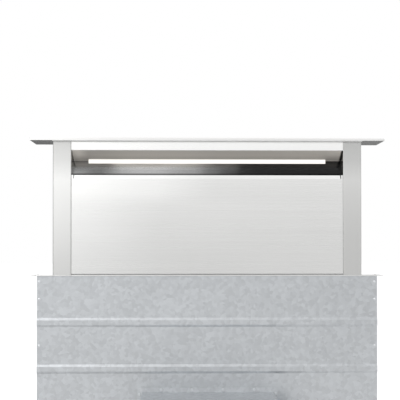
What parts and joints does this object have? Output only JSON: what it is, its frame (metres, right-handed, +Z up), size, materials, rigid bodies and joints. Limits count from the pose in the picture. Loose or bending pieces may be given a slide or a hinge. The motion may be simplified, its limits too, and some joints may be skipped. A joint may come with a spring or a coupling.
{
  "type": "downdraft vent",
  "caption": "Telescoping stainless downdraft vent that rises behind a cooktop, with a lit intake slot, tilting front panel, screw lift, blower box and damped duct outlet.",
  "frame": {"origin": "centre of the base of the object's bounding box, on the cabinet floor that the feet stand on", "axes": "+X to the right as seen from the cooktop, +Y towards the wall behind, +Z up"},
  "size_m": [0.914, 0.2708, 1.1568],
  "materials": {
    "stainless": "satin brushed stainless steel",
    "polished_stainless": "bright polished stainless steel",
    "galvanised": "galvanised sheet steel, spangled",
    "aluminium": "plain mill-finish aluminium",
    "bright_steel": "bright turned steel",
    "black_plastic": "black glass-filled plastic",
    "nylon": "natural nylon",
    "rubber": "black rubber",
    "circuit_board": "green lacquered circuit board",
    "opal_diffuser": "opal plastic, lit from behind"
  },
  "bodies": {
    "housing": {"counter_flange": "stainless", "wiper_seal": "rubber", "housing_front": "galvanised", "housing_rear": "galvanised", "right_housing_side": "galvanised", "left_housing_side": "galvanised", "bottom_pan": "galvanised", "right_guide_rail": "aluminium", "left_guide_rail": "aluminium", "right_top_bearing": "black_plastic", "left_top_bearing": "black_plastic", "right_lower_bearing": "nylon", "left_lower_bearing": "nylon", "drive_belt": "rubber", "motor_bracket": "galvanised", "lift_gearmotor": "bright_steel", "blower_box": "galvanised", "blower_cover": "galvanised", "blower_scroll": "galvanised", "blower_motor": "aluminium", "outlet_collar": "galvanised", "control_box": "galvanised", "control_box_lid": "galvanised", "right_leg": "galvanised", "left_leg": "galvanised", "right_foot_pad": "rubber", "left_foot_pad": "rubber"},
    "chimney": {"cap_shell": "stainless", "cap_underplate": "stainless", "control_board": "circuit_board", "right_post": "stainless", "left_post": "stainless", "intake_fascia": "stainless", "air_baffle": "polished_stainless", "led_channel": "aluminium", "led_diffuser": "opal_diffuser", "rear_panel": "stainless", "front_skirt": "stainless", "filter_rail": "stainless", "right_filter": "aluminium", "left_filter": "aluminium", "carriage_crossbar": "galvanised", "right_nut_bracket": "galvanised", "left_nut_bracket": "galvanised", "right_lift_nut": "nylon", "left_lift_nut": "nylon", "right_glide_shoe": "nylon", "left_glide_shoe": "nylon"},
    "front_panel": {"front_panel": "stainless"},
    "power_button": {"power_button": "stainless"},
    "slower_button": {"slower_button": "stainless"},
    "faster_button": {"faster_button": "stainless"},
    "light_button": {"light_button": "stainless"},
    "right_screw": {"right_lead_screw": "bright_steel", "right_pulley": "aluminium"},
    "left_screw": {"left_lead_screw": "bright_steel", "left_pulley": "aluminium"},
    "impeller": {"blower_impeller": "black_plastic"},
    "front_flap": {"front_damper_flap": "galvanised"},
    "rear_flap": {"rear_damper_flap": "galvanised"}
  },
  "joints": [
    {"name": "chimney_lift", "type": "slide", "parent": "housing", "child": "chimney", "axis": [0, 0, 1], "range_m": [-0.346, 0]},
    {"name": "right_screw_turn", "type": "hinge", "parent": "housing", "child": "right_screw", "pos_m": [0.4197, 0.0834, 0.5], "axis": [0, 0, 1], "range_deg": [0, 6240]},
    {"name": "left_screw_turn", "type": "hinge", "parent": "housing", "child": "left_screw", "pos_m": [-0.4197, 0.0834, 0.5], "axis": [0, 0, 1], "range_deg": [0, 6240]},
    {"name": "front_panel_tilt", "type": "hinge", "parent": "chimney", "child": "front_panel", "pos_m": [0, 0.0702, 0.81], "axis": [1, 0, 0], "range_deg": [0, 20]},
    {"name": "power_press", "type": "slide", "parent": "chimney", "child": "power_button", "axis": [0, 0, 1], "range_m": [-0.0008, 0], "stiffness_N_per_m": 600, "springref_m": 0.0008},
    {"name": "slower_press", "type": "slide", "parent": "chimney", "child": "slower_button", "axis": [0, 0, 1], "range_m": [-0.0008, 0], "stiffness_N_per_m": 600, "springref_m": 0.0008},
    {"name": "faster_press", "type": "slide", "parent": "chimney", "child": "faster_button", "axis": [0, 0, 1], "range_m": [-0.0008, 0], "stiffness_N_per_m": 600, "springref_m": 0.0008},
    {"name": "light_press", "type": "slide", "parent": "chimney", "child": "light_button", "axis": [0, 0, 1], "range_m": [-0.0008, 0], "stiffness_N_per_m": 600, "springref_m": 0.0008},
    {"name": "impeller_spin", "type": "hinge", "parent": "housing", "child": "impeller", "pos_m": [-0.025, -0.0366, 0.30507], "axis": [0, 1, 0], "continuous": true},
    {"name": "front_flap_swing", "type": "hinge", "parent": "housing", "child": "front_flap", "pos_m": [0.19, -0.0366, 0.41118], "axis": [0, 0, 1], "range_deg": [0, 75], "stiffness_Nm_per_rad": 0.02},
    {"name": "rear_flap_swing", "type": "hinge", "parent": "housing", "child": "rear_flap", "pos_m": [0.19, -0.0366, 0.41118], "axis": [0, 0, 1], "range_deg": [-75, 0], "stiffness_Nm_per_rad": 0.02}
  ],
  "couplings": [
    {"joint": "right_screw_turn", "follows": "chimney_lift", "rad_per_m": -314.16},
    {"joint": "left_screw_turn", "follows": "chimney_lift", "rad_per_m": -314.16}
  ]
}
